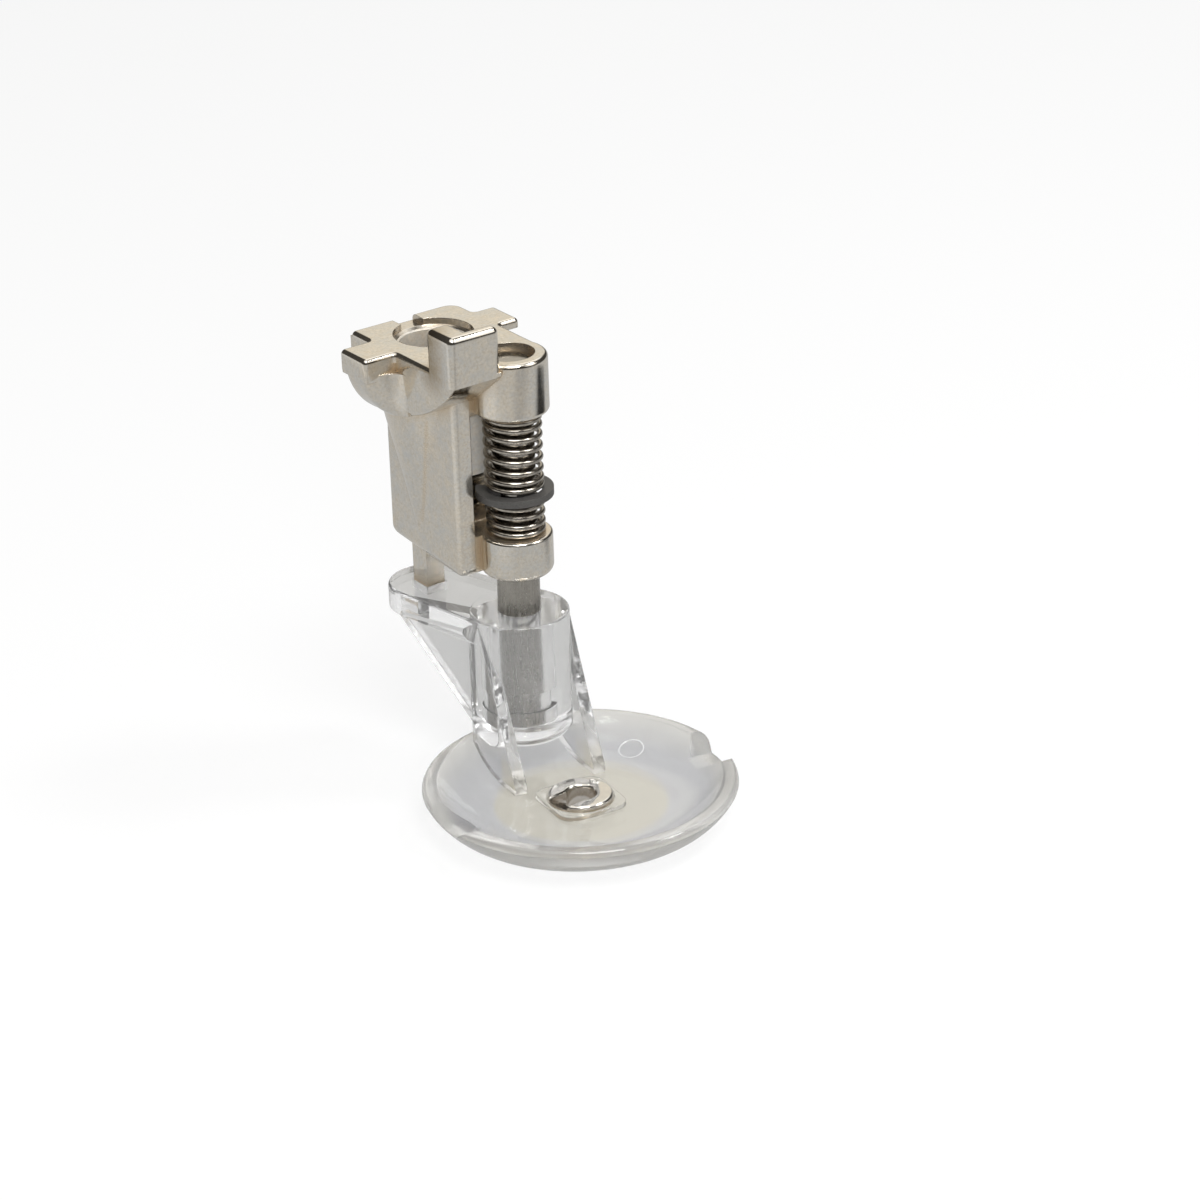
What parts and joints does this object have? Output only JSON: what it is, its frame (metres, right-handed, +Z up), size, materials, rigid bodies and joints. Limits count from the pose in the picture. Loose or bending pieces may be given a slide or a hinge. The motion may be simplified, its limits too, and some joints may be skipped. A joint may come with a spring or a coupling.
{
  "type": "sewing machine presser foot",
  "caption": "Sprung free-motion presser foot: plated clamp shank with round socket, steel rod with coil springs and clip, clear dished sole with a metal yarn eyelet.",
  "frame": {"origin": "where the needle axis meets the underside of the sole", "axes": "+X to the operator's right, +Y to the back of the machine, +Z up along the needle and the guide rod"},
  "size_m": [0.0253, 0.035, 0.0404],
  "materials": {
    "plated_casting": "bright nickel plate over a die casting",
    "rod_steel": "satin ground",
    "black_steel": "blackened",
    "spring_wire": "drawn wire",
    "clear_plastic": "clear moulded",
    "plated_eye": "polished"
  },
  "bodies": {
    "shank": {"shank": "plated_casting", "upper_spring": "spring_wire", "lower_spring": "spring_wire"},
    "carriage": {"guide_rod": "rod_steel", "retaining_clip": "black_steel", "sole": "clear_plastic", "eyelet": "plated_eye"}
  },
  "joints": [
    {"name": "sole_slide", "type": "slide", "parent": "shank", "child": "carriage", "axis": [0, 0, 1], "range_m": [-0.0005, 0.0018], "stiffness_N_per_m": 1500, "deforming": ["upper_spring", "lower_spring"]}
  ]
}
